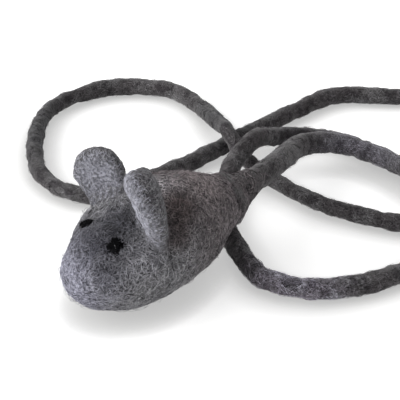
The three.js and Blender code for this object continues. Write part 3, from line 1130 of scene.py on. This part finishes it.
# %% [markdown]
# On the rope and its flare the fibres run more along than across, because it was rolled.

# %% Fibres on the rope
rope_surface = surface_of(rope, flare)
ROPE_STRAND_START = 6
ROPE_STRAND_SPREAD = 0.55
# The arc beside the body gets three times the lighter strands: partly its wool, partly painted light.
ROPE_FUZZ = [
    (0, 1), (150, 1), (250, 1.2), (280, 3), (345, 3), (370, 1.5), (450, 1), (1200, 0.8), (1430, 1),
]
fuzz = [between(ROPE_FUZZ, distance / MM) for distance in ring_runs]


def on_rope(count):
    """Places round the rope, each with a heading that mostly follows it."""
    starts, headings = [], []
    for i in dice.choices(range(1, len(ring_places) - 1), weights=fuzz[1:-1], k=count):
        along = (ring_places[i + 1] - ring_places[i - 1]).normalized()
        out = square_to(scatter(), along)
        starts.append(ring_places[i] + out * ROPE_STRAND_START * MM)
        headings.append(along * dice.choice((-1, 1)) + scatter(ROPE_STRAND_SPREAD))
    return starts, headings


# Number of strands, material, width and lift in millimetres
rope_sets = {
    "rope_curls_a": (2400, rope_fibre, 0.17, (0.1, 0.9)),
    "rope_curls_b": (2400, rope_fibre, 0.17, (0.1, 0.9)),
    "rope_dark": (900, dark_fibre, 0.26, (0.1, 0.4)),
}
for name, (count, material, width, lift) in rope_sets.items():
    starts, headings = on_rope(count // FEWER)
    made = fibres(
        name, rope_surface, starts, material, width,
        steps=6, stride=1.4, curl=(5, 25), lift=lift, headings=headings,
    )
    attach(made, "mouse_body")

# %% [markdown]
# Round the root of the tail the body's own wool runs on over the flare, thinner and thinner towards
# the rope.

# %% Fibres over the flare
root_surface = surface_of(body, flare, rope)
ROOT_REACH = (-12, 26)
ROOT_MOST = -6
ROOT_SPREAD = 0.7


def on_root(count):
    """Places round the flare, most of them over the rump, each with a heading along it."""
    starts, headings = [], []
    for _ in range(count):
        along = dice.triangular(*ROOT_REACH, ROOT_MOST)
        out = square_to(scatter(), aim)
        starts.append(rump + aim * along * MM + out * between(FLARE_PROFILE, along) * MM)
        headings.append(aim * dice.choice((-1, 1)) + scatter(ROOT_SPREAD))
    return starts, headings


# Number of strands, material and width in millimetres
root_sets = {
    "root_mid": (620, mid_fibre, 0.2),
    "root_light": (120, light_fibre, 0.17),
    "root_dark": (130, dark_fibre, 0.22),
}
for name, (count, material, width) in root_sets.items():
    starts, headings = on_root(count // FEWER)
    made = fibres(
        name, root_surface, starts, material, width,
        steps=7, stride=1.4, curl=(2.5, 12), lift=(0.1, 0.8), headings=headings,
    )
    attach(made, "mouse_body")

# %% [markdown]
# The floor is plain and white. To the camera it is partly its own light, so that wide shadows stay
# pale, as on a light table. An Ambient Occlusion node says how open the floor is to the sky, and
# makes the paper a little darker close to the wool as the camera sees it: a painted shadow, the soft
# grey rim along the body and the rope.

# %% Floor
FLOOR_HALF = 6
FLOOR_GLOW_SHARE = 0.1
FLOOR_GLOW = 4.7
PAPER = (0.97, 0.97, 0.965, 1)
PAINTED_SHADOW_PAPER = (0.24, 0.236, 0.226, 1)
RIM_REACH = 17 * MM
RIM_POWER = 3
RIM_SAMPLES = 8


def floor_mesh(bm):
    """One flat square, metres wide."""
    bmesh.ops.create_grid(bm, x_segments=1, y_segments=1, size=FLOOR_HALF)


floor_material = bpy.data.materials.new("floor")
floor_material.use_nodes = True
floor_maths = Maths(floor_material.node_tree)
to_camera = floor_maths.node("LightPath", output=0)
openness = floor_maths.node(
    "AmbientOcclusion", {"Distance": RIM_REACH}, output=1, samples=RIM_SAMPLES,
)
# painted shadow: darker paper, for the camera only, where the wool closes the floor in
rim = to_camera * (1 - openness ** RIM_POWER)
paper = floor_maths.node("BsdfDiffuse", {"Color": rim.mix(PAPER, PAINTED_SHADOW_PAPER)})
glow = floor_maths.node("Emission", {"Color": (1, 1, 1, 1), "Strength": FLOOR_GLOW})
surface = floor_maths.node("MixShader", {0: to_camera * FLOOR_GLOW_SHARE, 1: paper, 2: glow})
floor_output = floor_material.node_tree.nodes["Material Output"]
floor_material.node_tree.links.new(surface.socket, floor_output.inputs["Surface"])
floor = piece("floor", floor_mesh, floor_material)

# %% [markdown]
# A wide, soft lamp stands before the mouse, to its right, and an even sky fills the shadows. The
# camera sees that sky as white.

# %% Light
SKY_LIGHT = 0.63
KEY_FROM = (-0.52, -0.75, 0.43)
KEY_STRENGTH = 2.7
KEY_ANGLE = math.radians(55)

world = bpy.data.worlds.new("sky")
bpy.context.scene.world = world
world.use_nodes = True
sky = Maths(world.node_tree)
sky_strength = sky.node("LightPath", output=0) * (1 - SKY_LIGHT) + SKY_LIGHT
background = world.node_tree.nodes["Background"]
world.node_tree.links.new(sky_strength.socket, background.inputs["Strength"])
background.inputs["Color"].default_value = (1, 1, 1, 1)

key_data = bpy.data.lights.new("key", "SUN")
key_data.energy = KEY_STRENGTH
key_data.angle = KEY_ANGLE
key = bpy.data.objects.new("key", key_data)
key.rotation_euler = Vector(KEY_FROM).to_track_quat("Z", "Y").to_euler()
bpy.context.scene.collection.objects.link(key)
bpy.context.scene.view_settings.view_transform = "Standard"
print("lamp of strength", KEY_STRENGTH, "and a sky of", SKY_LIGHT)
